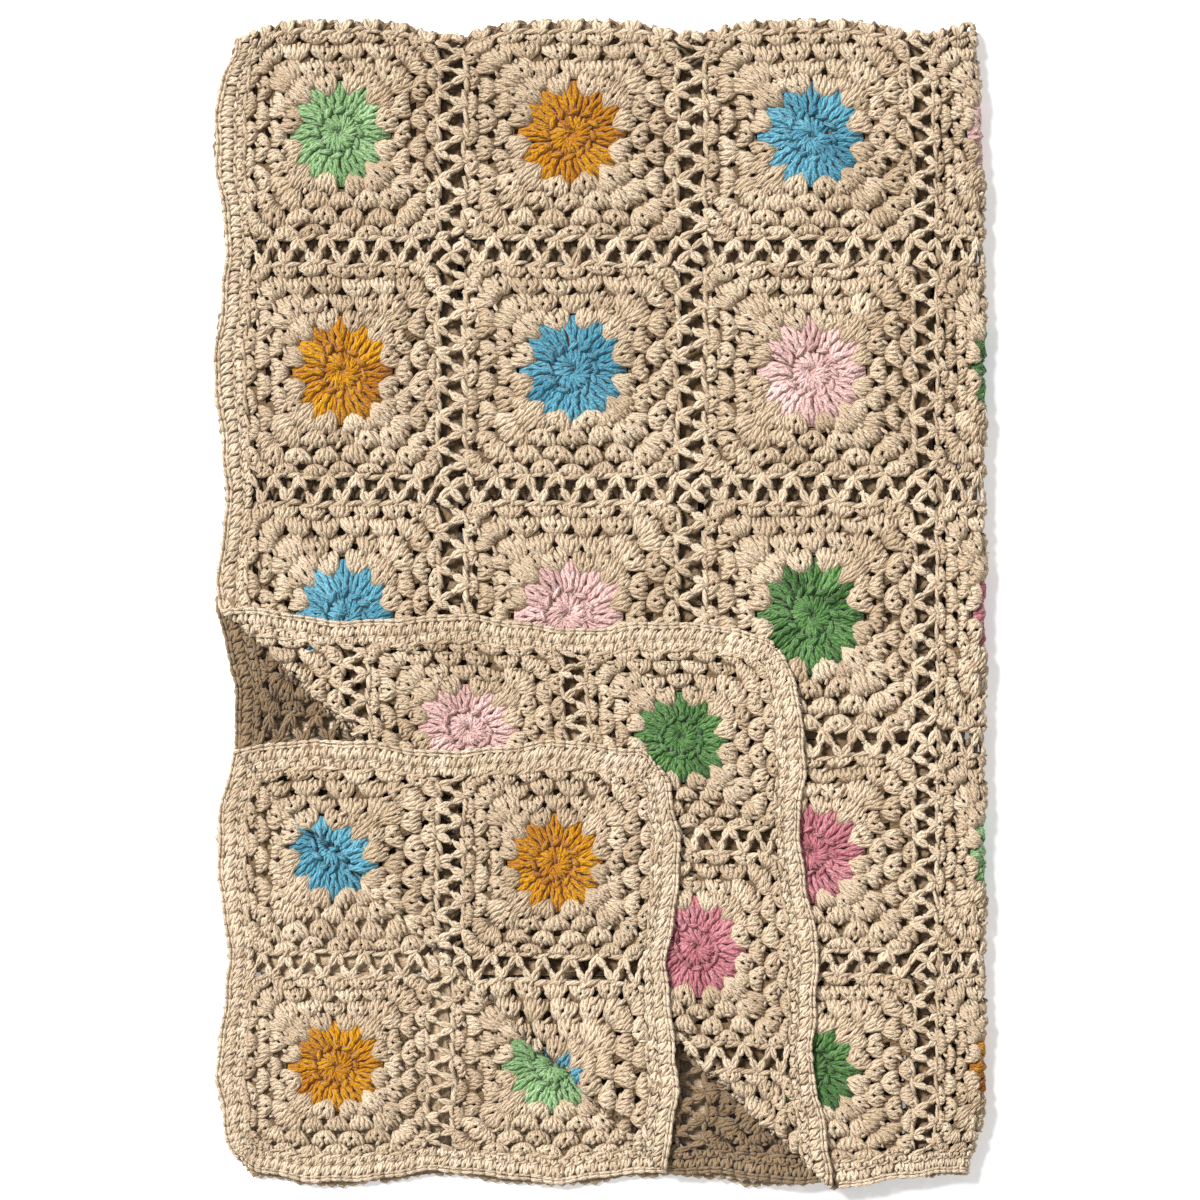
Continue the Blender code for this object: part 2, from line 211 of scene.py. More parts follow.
def fold(a, b):
    turn = np.minimum(np.abs(b), TOP_ARC) / FOLD_RADIUS
    y = TOP_CENTRE + FOLD_RADIUS * np.cos(turn) - np.maximum(0.0, np.abs(b) - TOP_ARC)
    radius = LAYER_PITCH + np.copysign(FOLD_RADIUS * np.sin(turn), b)
    turn = math.pi / 2 * np.minimum(np.abs(a), SIDE_ARC) / SIDE_ARC
    x = SIDE_CENTRE + radius * np.cos(turn) - np.maximum(0.0, np.abs(a) - SIDE_ARC)
    z = LAYERS_HIGH + np.copysign(radius * np.sin(turn), a)
    for name, in_layer in (("first", b > 0), ("second", b <= 0)):
        turned = in_layer & (a > SIDE_ARC) & (np.abs(b) > TOP_ARC)
        turned = turned & (past_fold(FLAPS[name], x, y)[1] > 0)
        x, y, z = turn_corner(FLAPS[name], x, y, z, turned)
        short = past_fold(FLAPS["first"], x, y)[1]
        climb = smooth((CLIMB_START - short) / (CLIMB_START - CLIMB_END))
        z = np.where(turned & (name == "second"), z + 2 * LAYER_PITCH * climb, z)
    swell = SWELL * (1 + np.sin(8 * x + 5 * y) * np.cos(-3 * x + 6 * y))
    z = CLOTH / 2 + (z - CLOTH / 2) * (1 + swell) + edge_lift(x, y)
    for pull in PULLS:
        distance = np.hypot(x - pull["at"][0], y - pull["at"][1])
        share = np.exp(-((distance / pull["reach"]) ** 2))
        x = x + share * pull["by"][0]
        y = y + share * pull["by"][1]
    return np.stack([x, y, z], axis=-1)


def cloth(s, t):
    """Flat places to points on the middle of the folded cloth."""
    return fold(*settle(s, t))


print("the throw's loose corner is at", np.round(cloth(np.array([0.0]), np.array([0.9])), 3))

# %% [markdown]
# Yarn also stands off the cloth's middle, so a third number, `h`, is how far a point is from it on
# the right side, the side that faced the maker. The normal comes from two short steps on the cloth,
# so a stitch bends with the roll that it lies on.

# %% Off the middle of the cloth
STEP = 0.0005
FLOOR_GAP = 0.0002
WANDER = 0.0007


def wander(s, t):
    """Hand work is never quite straight: rows and posts wander by a millimetre, in waves of 4 to 7 cm."""
    side = np.sin(2 * math.pi * t / 0.071 + 3 * np.sin(9 * s)) + np.sin(2 * math.pi * t / 0.043 + 11 * s)
    up = np.sin(2 * math.pi * s / 0.066 + 3 * np.sin(8 * t)) + np.sin(2 * math.pi * s / 0.039 - 13 * t)
    return s + WANDER * side, t + WANDER * up


def in_throw(s, t, h):
    s, t = wander(s, t)
    here = cloth(s, t)
    across = cloth(s + STEP, t) - cloth(s - STEP, t)
    along = cloth(s, t + STEP) - cloth(s, t - STEP)
    normal = -np.cross(across, along)
    normal /= np.maximum(np.linalg.norm(normal, axis=-1, keepdims=True), 1e-12)
    points = here + normal * h[..., None]
    points[..., 2] = np.maximum(points[..., 2], FLOOR_GAP)
    return points


print("3 mm up from the cloth:", np.round(in_throw(*np.array([[0.3], [0.3], [0.003]])), 4))

# %% [markdown]
# ## What is open to view
#
# A quarter of the throw faces up and a quarter faces down. The rest lies inside the pile. Fine
# stitches go where they can be seen from above, plain ones go underneath, and the hidden layers get
# no more than a web and bars. The first layer's turned corner shows its wrong side. The second layer
# lies face down, so it is the other way round there.

# %% Which places show, and which side
VIEW_MARGIN = 0.016
FIRST_FLAP_TOP = -0.012 - VIEW_MARGIN
FIRST_FLAP_RIGHT = 0.160 - VIEW_MARGIN
SECOND_FLAP_TOP = -0.105 - VIEW_MARGIN
SECOND_FLAP_RIGHT = 0.064 - VIEW_MARGIN
FOLD_MARGIN = 0.006
# Painted shade: the tone of the second layer's cloth that lies deep between the turned corners.
PAINTED_DEEP_SHADE = 0.48


def past_flap(name, a, b, margin=0.0):
    """Which places a flap takes along, or nearly: told by where they lie with no corner turned."""
    x, y = SIDE_CENTRE - np.abs(a) + SIDE_ARC, TOP_CENTRE - np.abs(b) + TOP_ARC
    return past_fold(FLAPS[name], x, y)[1] > -margin


def shows_above(s, t, bends=True):
    a, b = settle(s, t)
    place = fold(a, b)
    x, y = place[..., 0], place[..., 1]
    past_first = past_flap("first", a, b, VIEW_MARGIN / 4)
    past_second = past_flap("second", a, b, VIEW_MARGIN / 4)
    under_first = (y < FIRST_FLAP_TOP) & (x < FIRST_FLAP_RIGHT)
    under_second = (y < SECOND_FLAP_TOP) & (x < SECOND_FLAP_RIGHT)
    first = (a > 0) & (b > 0) & np.where(past_first, ~under_second, ~under_first)
    second = (a > 0) & (b <= 0) & (past_second | (past_first & ~under_second))
    third = (a <= 0) & (b <= 0) & past_second
    bent = (np.abs(a) < SIDE_ARC + FOLD_MARGIN) | (np.abs(b) < TOP_ARC + FOLD_MARGIN)
    return first | second | third | (bent & bends)


def shows_below(s, t):
    a, b = settle(s, t)
    return (a <= 0) & (b > 0)


def shade(s, t):
    """The second layer's cloth lies deep between the turned corners, where little light gets in."""
    a, b = settle(s, t)
    deep = (a > SIDE_ARC) & (b < -TOP_ARC) & ~past_flap("second", a, b)
    return np.where(deep, PAINTED_DEEP_SHADE, 1.0)


def seen_side(s, t):
    """1 where the right side is the one that shows, and -1 where the wrong side does."""
    a, b = settle(s, t)
    bends = (np.abs(a) < SIDE_ARC) | (np.abs(b) < TOP_ARC)
    wrong = (a > 0) & np.where(b > 0, past_flap("first", a, b), ~past_flap("second", a, b))
    return np.where(wrong & ~bends, -1.0, 1.0)


grid_s, grid_t = np.meshgrid(np.linspace(0.02, 1.18, 60), np.linspace(-0.88, 0.88, 90))
print(f"share seen from above: {shows_above(grid_s, grid_t).mean():.2f}")

# %% [markdown]
# ## One strand of yarn
#
# The yarn is about three millimetres thick. A four-sided tube is enough for it, as thousands are
# laid side by side and its twist is drawn by the material. A bevelled curve would do as well, but the
# tube shows the modelling step by step. It is one unit long and is drawn out to each stitch's real
# length when it is laid. It is bent by moving one ring of points at a time.

# %% A strand, bent ring by ring
YARN = 0.0029


def deselect_all():
    bpy.ops.object.select_all(action="DESELECT")


def to_mode(mode):
    bpy.ops.object.mode_set(mode=mode)


def select_ring(obj, low, high):
    """Selects an object's points that lie between two places along Y, in edit mode."""
    bpy.ops.mesh.select_all(action="DESELECT")
    to_mode("OBJECT")
    for vert in obj.data.vertices:
        vert.select = low < vert.co.y < high
    to_mode("EDIT")


def strand(name, path):
    """A tube one unit long. path gives, for rings evenly along it, X and Z in mm and a size."""
    deselect_all()
    bpy.ops.mesh.primitive_cylinder_add(
        vertices=4, radius=YARN / 2, depth=1, rotation=(math.pi / 2, 0, 0)
    )
    tube = bpy.context.object
    tube.name = name
    tube.location = (0, 0.5, 0)
    bpy.ops.object.transform_apply(location=True, rotation=True, scale=True)
    to_mode("EDIT")
    bpy.ops.mesh.select_mode(type="EDGE")
    bpy.ops.mesh.select_all(action="DESELECT")
    to_mode("OBJECT")
    # Only the edges that run from end to end are cut.
    for edge in tube.data.edges:
        first, second = (tube.data.vertices[k].co.y for k in edge.vertices)
        edge.select = abs(first - second) > 0.5
    to_mode("EDIT")
    bpy.ops.mesh.subdivide(number_cuts=len(path) - 2)
    bpy.ops.mesh.select_mode(type="VERT")
    half = 0.5 / (len(path) - 1)
    for k, (x, z, size) in enumerate(path):
        middle = k / (len(path) - 1)
        select_ring(tube, middle - half, middle + half)
        bpy.ops.transform.resize(value=(size, 1, size), center_override=(0, middle, 0))
        bpy.ops.transform.translate(value=(x / 1000, 0, z / 1000))
    to_mode("OBJECT")
    return tube


# %% [markdown]
# ## The stitches
#
# A post is a double crochet: two strands twist up from the round below, and the yarn-over wraps
# across them at the middle. Three posts worked into one space make the granny group, a puff that is
# narrow at its foot, full in its belly and blunt at its head. In the crossed group the same six
# strands lie over each other. A petal is a smaller puff. A link is one loop of a chain, two strands
# that part and meet. A top loop ends a stitch. Each is modelled once here, and so are the plain ones
# for the places that hardly show.

# %% The stitches, each modelled once
# Painted shade: the tone of a stitch's lowest points, darkened as little light reaches them, and how soon
# it brightens towards its top.
PAINTED_CAVITY_SHADE = 0.72
PAINTED_SHADE_RISE = 1.5


def joined(name, parts):
    """One object of several, which is then taken out of the scene and kept as a pattern."""
    deselect_all()
    for part in parts:
        part.select_set(True)
    bpy.context.view_layer.objects.active = parts[0]
    bpy.ops.object.join()
    whole = bpy.context.object
    whole.name = name
    pattern = as_pattern(whole)
    bpy.data.objects.remove(whole, do_unlink=True)
    print(name, "has", len(pattern["faces"]), "faces")
    return pattern


def as_pattern(obj):
    """A stitch's points, its faces, the painted shade that darkens its lowest points, and where it is
    round its strand.
    """
    points = np.array([v.co[:] for v in obj.data.vertices])
    faces = np.array([p.vertices[:] for p in obj.data.polygons])
    owner = np.arange(len(points))
    for _ in range(len(points)):
        low = owner[faces].min(axis=1)
        np.minimum.at(owner, faces.ravel(), np.repeat(low, 4))
    around = np.zeros((len(points), 2))
    for part in np.unique(owner):
        mine = np.flatnonzero(owner == part)
        rings = np.round(points[mine, 1], 3)
        for ring in np.unique(rings):
            members = mine[rings == ring]
            middle = points[members][:, [0, 2]].mean(axis=0)
            offset = points[members][:, [0, 2]] - middle
            size = np.maximum(np.linalg.norm(offset, axis=1, keepdims=True), 1e-9)
            around[members] = offset / size
    rise = (points[:, 2] - points[:, 2].min()) / np.ptp(points[:, 2])
    painted_shade = PAINTED_CAVITY_SHADE + (1 - PAINTED_CAVITY_SHADE) * smooth(PAINTED_SHADE_RISE * rise)
    return {"points": points, "faces": faces, "around": around, "painted_shade": painted_shade}


def bundle(name, sizes, paths):
    """A stitch whose strands swell alike. A path gives X and Z in mm for each ring of its strand."""
    parts = []
    for path in paths:
        parts.append(strand(name, [(x, z, size) for (x, z), size in zip(path, sizes)]))
    return joined(name, parts)


GROUP_SWELL = (0.8, 1.2, 1.3, 0.9)
POST = joined("post", [
    strand("left_strand", [(-0.4, -1.5, 0.8), (-1.9, 0.5, 1.1), (-2.1, 1.1, 1.15), (-0.9, -0.6, 0.9)]),
    strand("right_strand", [(0.6, -1.5, 0.8), (1.9, 0.8, 1.1), (1.2, 1.5, 1.15), (1.8, -0.5, 0.9)]),
    strand("wrap", [(-2.2, -0.4, 0.8), (0.2, 1.9, 1.0), (2.0, 0.2, 0.8)]),
])
GROUP = bundle("group", GROUP_SWELL, [
    ((-1.9, -1.2), (-4.2, 1.4), (-7.0, 0.5), (-7.2, -0.9)),
    ((-1.3, -1.0), (-5.4, 0.2), (-4.4, 2.0), (-4.2, -0.8)),
    ((-0.5, -0.8), (-1.5, 2.3), (-2.3, 2.1), (-1.4, -0.6)),
    ((0.5, -0.8), (1.4, 1.8), (0.9, 2.5), (1.6, -0.7)),
    ((1.3, -1.0), (5.2, 0.4), (4.0, 1.7), (4.4, -0.8)),
    ((1.9, -1.3), (3.9, 1.6), (7.0, 0.4), (7.2, -0.9)),
])
CROSSED_GROUP = bundle("crossed_group", GROUP_SWELL, [
    ((-1.9, -1.4), (-5.6, 0.2), (-7.2, 0.3), (-7.0, -0.8)),
    ((-1.3, -1.0), (-3.8, 1.3), (-2.2, 2.5), (-1.2, -0.9)),
    ((-0.5, -0.8), (-1.4, 2.2), (-4.8, 1.3), (-4.4, -0.7)),
    ((0.5, -0.8), (1.1, 2.4), (4.3, 1.9), (5.0, -0.7)),
    ((1.3, -1.0), (3.6, 1.1), (1.1, 1.9), (1.8, -0.8)),
    ((1.9, -1.4), (5.4, 0.3), (7.0, 0.7), (7.3, -0.8)),
])
PLAIN_GROUP = bundle("plain_group", (1.0, 1.8, 1.3), [
    ((-2.0, -1.2), (-5.2, 0.8), (-4.4, -1.0)),
    ((0.0, -0.9), (0.0, 1.5), (0.0, -0.8)),
    ((2.0, -1.2), (5.2, 0.8), (4.4, -1.0)),
])
PETAL = bundle("petal", (0.8, 1.1, 1.2, 0.9), [
    ((-1.2, -1.2), (-3.4, 0.6), (-4.4, 0.5), (-2.2, -0.9)),
    ((-0.4, -0.9), (0.4, 1.9), (-2.0, 1.7), (-0.9, -0.7)),
    ((0.4, -0.9), (-0.9, 1.1), (1.6, 2.1), (0.8, -0.7)),
    ((1.2, -1.2), (3.2, 0.5), (4.2, 0.8), (2.2, -0.9)),
])
LINK = bundle("link", (0.95, 1.1, 1.1, 0.95), [
    ((0.7, 0.4), (-1.2, 1.1), (-1.2, 0.9), (0.6, 0.0)),
    ((-0.7, -0.3), (1.3, 0.3), (1.2, 0.6), (-0.6, 0.3)),
])
EDGE_LINK = bundle("edge_link", (0.95, 1.05, 1.05, 0.95), [
    ((-1.5, 0.6), (-1.7, 0.9), (-1.4, 0.8), (-1.5, 0.6)),
    ((1.2, 0.7), (1.4, 1.1), (1.5, 1.1), (1.2, 0.7)),
])
TOP_LOOP = bundle("top_loop", (0.75, 1.15, 0.75), [
    ((-1.0, -1.0), (0.2, 1.2), (1.0, -1.0)),
])
PLAIN = bundle("plain", (0.8, 2.0, 0.8), [
    ((0.0, -0.6), (0.0, 0.3), (0.0, -0.6)),
])

# %% [markdown]
# ## Laying copies
#
# A stitch runs from where the hook went in to where it came out, so two flat places are all that a
# copy needs. Every copy gets its own points, a little tone of its own, as no two stitches take the
# light or the dye alike, and the place round and along its strand, which the yarn's twist follows.

# %% Lay a pattern from place to place
rng = np.random.default_rng(7)
TONE_SPREAD = 0.07
WIDTH_SPREAD = 0.06
RISE_SPREAD = 0.0003
LOOSE = 0.0006
UNEVEN = 0.00025
TWIST_START = 0.02
pieces = []


def lay(pattern, starts, ends, width=1.0, height=1.0, shift=0.0, loose=LOOSE, bright=1.0):
    """Lays one copy of a pattern for each start and end: points, faces, tones with their painted shade,
    and strand places.
    """
    count = len(starts)
    starts = starts + loose * rng.standard_normal(starts.shape)
    ends = ends + loose * rng.standard_normal(ends.shape)
    run = ends - starts
    length = np.linalg.norm(run, axis=1, keepdims=True)
    direction = run / length
    side = seen_side(*((starts + ends) / 2).T)
    across = np.stack([direction[:, 1], -direction[:, 0]], axis=1) * side[:, None]
    x, y, z = pattern["points"].T
    x = x + UNEVEN * rng.standard_normal((count, len(y)))
    z = z + UNEVEN * rng.standard_normal((count, len(y)))
    wide = width * (1 + WIDTH_SPREAD * rng.standard_normal((count, 1)))
    place = starts[:, None] + run[:, None] * y[None, :, None]
    place = place + across[:, None] * (x * wide)[..., None]
    rise = shift + RISE_SPREAD * rng.standard_normal(count)[:, None]
    off = (z * height + rise) * side[:, None]
    points = in_throw(place[..., 0].ravel(), place[..., 1].ravel(), off.ravel())
    size = len(y)
    faces = (pattern["faces"][None] + np.arange(count)[:, None, None] * size).reshape(-1, 4)
    tone_and_shade = bright * (1 + TONE_SPREAD * rng.standard_normal(count))
    # The tone takes the painted shade of the deep second layer and of each stitch's low points.
    tone_and_shade = np.outer(tone_and_shade * shade(*((starts + ends) / 2).T), pattern["painted_shade"]).ravel()
    start_along = rng.uniform(0, TWIST_START, count)
    along = (start_along[:, None] + length * y[None, :]).ravel()
    yarn = np.column_stack([np.tile(pattern["around"], (count, 1)), along])
    return points, faces, tone_and_shade, yarn


def make_piece(name, laid):
    """One object of all the copies in a list, with its attributes and its faces turned outwards."""
    sizes = np.cumsum([0] + [len(part[0]) for part in laid])
    points = np.concatenate([part[0] for part in laid])
    faces = np.concatenate([part[1] + size for part, size in zip(laid, sizes)])
    mesh = bpy.data.meshes.new(name)
    mesh.from_pydata(points, [], faces)
    mesh.attributes.new("tone_and_shade", "FLOAT", "POINT").data.foreach_set(
        "value", np.concatenate([part[2] for part in laid])
    )
    mesh.attributes.new("yarn", "FLOAT_VECTOR", "POINT").data.foreach_set(
        "vector", np.concatenate([part[3] for part in laid]).ravel()
    )
    mesh.shade_smooth()
    mesh.update()
    piece = bpy.data.objects.new(name, mesh)
    bpy.context.scene.collection.objects.link(piece)
    pieces.append(piece)
    print(f"{name}: {2 * len(faces):,} triangles")
    return piece


# %% [markdown]
# ## The plan of a square
#
# A square starts as a ring and becomes square round by round. `round_place` gives a flat place from a
# share of the way round, counted from a corner, and a share of the way out. It blends a circle into a
# square, so a stitch laid between two rounds leans and fans as the real one does. No two squares are
# worked alike, so each one's middle is a little turned and a little off its place.

# %% Places on a square
CIRCLE_OUT = 0.36
SQUARING = 0.38
TWIST = 0.008
OFF_PLACE = 0.0025


def round_place(way, out):
    """Places on a square of half side 1: way runs round it from a corner, out from its middle."""
    quarter = np.floor(way * 4)
    share = way * 4 - quarter
    angle = math.pi / 4 + (quarter + share) * math.pi / 2
    circle = np.stack([np.cos(angle), np.sin(angle)], axis=-1)
    turn = quarter * math.pi / 2
    corner_x = 1 - 2 * share
    square = np.stack(
        [corner_x * np.cos(turn) - np.sin(turn), corner_x * np.sin(turn) + np.cos(turn)], axis=-1
    )
    mix = smooth((out - CIRCLE_OUT) / SQUARING)[..., None]
    return ((1 - mix) * circle + mix * square) * out[..., None]


def square_middle(column, row):
    s = BORDER + SQUARE_WIDE / 2 + column * COLUMN_PITCH
    t = BORDER + SQUARE_LONG / 2 + row * ROW_PITCH - THROW_LENGTH / 2
    return np.array([s, t])


HALF_SQUARE = np.array([SQUARE_WIDE / 2, SQUARE_LONG / 2])
SQUARES = [(column, row) for column in range(COLUMNS) for row in range(ROWS)]
uneven = np.random.default_rng(3)
TWISTS = {square: uneven.uniform(-TWIST, TWIST) for square in SQUARES}
SHIFTS = {square: uneven.uniform(-OFF_PLACE, OFF_PLACE, 2) for square in SQUARES}
# Two squares of the turned corner are so loose that their stars sit well off the middle.
SHIFTS[(0, 1)] = np.array([0.005, 0.005])
SHIFTS[(1, 0)] = np.array([0.015, 0.015])


def on_square(square, ways, outs):
    """Flat places on one square, whose middle is a little turned and off its place."""
    loose = 1 - outs**2
    place = HALF_SQUARE * round_place((ways + TWISTS[square] * loose) % 1.0, outs)
    return square_middle(*square) + place + SHIFTS[square] * loose[:, None]


print(len(SQUARES), "squares")

# %% [markdown]
# ## The stars
#
# Each square's middle is a ring of twelve posts, then twelve petals, with the loops that end each
# round lying over them. They are worked in one of six colours, which run in slanting rows over the
# throw. Each colour is a piece of its own, so each gets the cotton that it was dyed in.

# %% Stars, one piece for each dyed yarn
STAR_COLOURS = ("light_green", "mustard", "blue", "light_pink", "dark_green", "rose")
PETALS = 12
RING_FOOT = 0.012
RING_OUT = 0.20
PETAL_LAP = 0.05
PETAL_TIP = 0.51
RING_WIDTH = 1.2
PETAL_WIDTH = 1.42
# Loops: how far to each side of a petal's middle they reach, how far out, how wide and how high up.
RING_LOOP = {"half": 0.038, "from": RING_OUT + 0.015, "to": RING_OUT + 0.035, "width": 1.4, "rise": 0.0018}
TIP_LOOP = {"from": PETAL_TIP - 0.14, "to": PETAL_TIP - 0.08, "width": 1.0, "rise": 0.0010}
TIP_SPREAD = 0.010
TIP_LEAN = 0.006
# The colours run in slanting rows, but one star of the top layer is dark green out of its turn.
ODD_STARS = {(2, 9): "dark_green"}


def spokes(square, ways_in, outs_in, ways_out, outs_out):
    """Starts and ends of stitches on one square, from shares of the way round and out."""
    starts = on_square(square, ways_in, outs_in * np.ones(len(ways_in)))
    return starts, on_square(square, ways_out, outs_out * np.ones(len(ways_out)))


def kept(starts, ends, seen):
    """Those stitches of which the middle is open to view."""
    keep = seen(*((starts + ends) / 2).T)
    return starts[keep], ends[keep]


def star_spokes(square):
    """The ring's posts, the petals and the loops at both their ends, with how each is laid."""
    ways = np.arange(PETALS) / PETALS + 0.5 / PETALS
    ring = spokes(square, ways, RING_FOOT, ways, RING_OUT)
    petals = spokes(square, ways, RING_OUT - PETAL_LAP, ways, PETAL_TIP)
    half = RING_LOOP["half"]
    loops = spokes(square, ways - half, RING_LOOP["from"], ways + half, RING_LOOP["to"])
    tips = np.concatenate([ways - TIP_SPREAD, ways + TIP_SPREAD])
    ends = spokes(square, tips - TIP_LEAN, TIP_LOOP["from"], tips + TIP_LEAN, TIP_LOOP["to"])
    return (
        (POST, ring, RING_WIDTH, 0.0),
        (PETAL, petals, PETAL_WIDTH, 0.0),
        (TOP_LOOP, loops, RING_LOOP["width"], RING_LOOP["rise"]),
        (TOP_LOOP, ends, TIP_LOOP["width"], TIP_LOOP["rise"]),
    )


def star_colour(square):
    return ODD_STARS.get(square, STAR_COLOURS[(sum(square) + 1) % len(STAR_COLOURS)])


for title in STAR_COLOURS:
    laid = []
    for square in SQUARES:
        if star_colour(square) != title:
            continue
        for pattern, places, width, shift in star_spokes(square):
            above, below = kept(*places, shows_above), kept(*places, shows_below)
            if len(above[0]):
                laid.append(lay(pattern, *above, width=width, shift=shift))
            if len(below[0]) and pattern is not TOP_LOOP:
                laid.append(lay(PETAL if pattern is PETAL else PLAIN, *below, width=width))
    make_piece("star_" + title, laid)

# %% [markdown]
# ## The four beige rounds
#
# Round the star come four rounds of granny groups. The first round is worked into the notches between
# the petals, so it lies over the star's edge, and three groups in each corner's notch start the
# square. The next rounds have five, six and seven groups on each side. They stand square to the side
# and leave a small hole between the feet of each group and the next. The two kinds of group are dealt
# at random, as the strands don't always fall to the same side. Each group's head ends in a loop, and
# two yarn-overs slant across its posts.

# %% Granny groups, one piece for each round
CORNER_SPACE = 0.04
RAGGED = 0.0007
# On each side of a square: a group's way from the corner, how far out its foot lies, and its width.
FIRST_SIDE = (
    (-0.44, 0.47, 0.85), (0.0, 0.385, 0.95), (0.44, 0.47, 0.85), (1.0, 0.380, 1.12), (2.0, 0.380, 1.12)
)
ROUNDS = (
    {"name": "round_one", "around": 12, "side": FIRST_SIDE, "head": 0.575, "shift": 0.0012},
    {"name": "round_two", "around": 20, "foot": 0.550, "head": 0.705, "width": 1.20, "shift": 0.0006},
    {"name": "round_three", "around": 24, "foot": 0.695, "head": 0.865, "width": 1.22, "shift": 0.0003},
    {"name": "round_four", "around": 28, "foot": 0.855, "head": 0.980, "width": 1.18, "shift": 0.0},
)
# A loop rides above its group. It is placed by where across the group's half width it lies, from and
# to where along the group, and its slant.
LOOP_RISE = 0.0014
HALF_GROUP = 0.0072
HEAD_LOOPS = ((0.15,), 0.84, 1.04, 0.30)
YARN_OVERS = ((-0.50, 0.45), 0.40, 0.74, 0.20)
# The square's last round ends in a rim of loops that lap a little.
RIM_LINKS = 48
RIM_REACH = 0.62 / RIM_LINKS
RIM_OUT = 0.985
RIM_WIDTH = 1.3
RIM_RISE = 0.0006


def group_plan(plan):
    """For each group of a round: the ways round and out of its foot, its way at the head, its width."""
    if "side" in plan:
        ways, outs, widths = np.tile(plan["side"], (4, 1)).T
        heads = ways / plan["around"] + np.repeat(np.arange(4) / 4, len(plan["side"]))
        return heads, outs, heads, widths
    count = plan["around"] // 4
    side = (np.arange(count) + 0.5) / count
    foot = 0.5 + (side - 0.5) * plan["head"] / plan["foot"]
    foot = np.clip(foot, CORNER_SPACE, 1 - CORNER_SPACE)
    quarters = np.repeat(np.arange(4), count)
    heads, feet = (quarters + np.tile(side, 4)) / 4, (quarters + np.tile(foot, 4)) / 4
    even = np.ones(4 * count)
    return feet, even * plan["foot"], heads, even * plan["width"]


def small_loops(plan, feet, outs, heads, widths):
    """The loops at the groups' heads, and the yarn-overs that slant across their posts."""
    half = HALF_GROUP * widths / (8 * HALF_SQUARE.mean() * plan["head"])
    sets = []
    for offsets, low, high, slant in (HEAD_LOOPS, YARN_OVERS):
        each = len(offsets)
        middle = feet + (heads - feet) * (low + high) / 2
        ways = np.repeat(middle, each) + np.outer(half, offsets).ravel()
        lean = slant * np.repeat(half, each)
        reach = np.repeat(plan["head"] - outs, each)
        foot = np.repeat(outs, each)
        sets.append((ways - lean, foot + low * reach, ways + lean, foot + high * reach))
    return [np.concatenate(parts) for parts in zip(*sets)]


rim = np.arange(RIM_LINKS) / RIM_LINKS
rim_plan = (rim - RIM_REACH, RIM_OUT, rim + RIM_REACH, RIM_OUT)
small = []
underside = []
for plan in ROUNDS:
    feet, outs, heads, widths = group_plan(plan)
    loops_plan = small_loops(plan, feet, outs, heads, widths)
    laid = []
    for square in SQUARES:
        starts, ends = spokes(square, feet, outs, heads, plan["head"])
        seen = shows_above(*((starts + ends) / 2).T)
        loops = kept(*spokes(square, *loops_plan), shows_above)
        below = kept(starts, ends, shows_below)
        turns = rng.permutation(np.flatnonzero(seen))
        for pattern, mine in ((GROUP, turns[::2]), (CROSSED_GROUP, turns[1::2])):
            if len(mine):
                places = starts[mine], ends[mine]
                wide = widths[mine][:, None]
                laid.append(lay(pattern, *places, width=wide, shift=plan["shift"], loose=RAGGED))
        if len(below[0]):
            underside.append(lay(PLAIN_GROUP, *below))
        if len(loops[0]):
            small.append(lay(TOP_LOOP, *loops, shift=plan["shift"] + LOOP_RISE, loose=RAGGED))
        if plan is ROUNDS[-1]:
            rims = kept(*spokes(square, *rim_plan), shows_above)
            if len(rims[0]):
                small.append(lay(TOP_LOOP, *rims, width=RIM_WIDTH, shift=RIM_RISE))
    make_piece(plan["name"], laid)
make_piece("round_loops", small)
make_piece("underside_rounds", underside)

# %% [markdown]
# ## The joining lattice
#
# The squares don't touch. A chain runs to and fro between their edges, seven times on each side, and
# leaves a row of three-cornered holes. Each leg of the zigzag is two long links of chain. At the
# crossings, where four corners meet, two short chains cross. Straight bars would be simpler, but the
# slanting legs show from afar.

# %% Zigzag chains between the squares
ZIGZAGS = 7
LEG_LINKS = 2
LINK_LAP = 0.04
EDGE_LAP = 0.0015
LATTICE_LOOSE = 0.0007
CHAIN = {"width": 1.15, "height": 1.3, "bright": 1.08}
HIDDEN_BAR = {"width": 1.2, "height": 0.7}


def zigzag(start, end, gap):
    """Leg ends of a zigzag from start to end, that swings by gap to the left of the way."""
    way = end - start
    left = np.array([-way[1], way[0]]) / np.linalg.norm(way) * gap
    steps = np.linspace(0, 1, 2 * ZIGZAGS + 1)
    points = start + steps[:, None] * way
    points[1::2] += left
    points += LATTICE_LOOSE * rng.standard_normal(points.shape)
    return points[:-1], points[1:]


def chained(starts, ends, links):
    """Cuts each leg into links laid end to end."""
    cuts = np.linspace(0, 1, links + 1)
    run = ends - starts
    firsts = starts[:, None] + run[:, None] * (cuts[:-1] - LINK_LAP)[None, :, None]
    lasts = starts[:, None] + run[:, None] * (cuts[1:] + LINK_LAP)[None, :, None]
    return firsts.reshape(-1, 2), lasts.reshape(-1, 2)


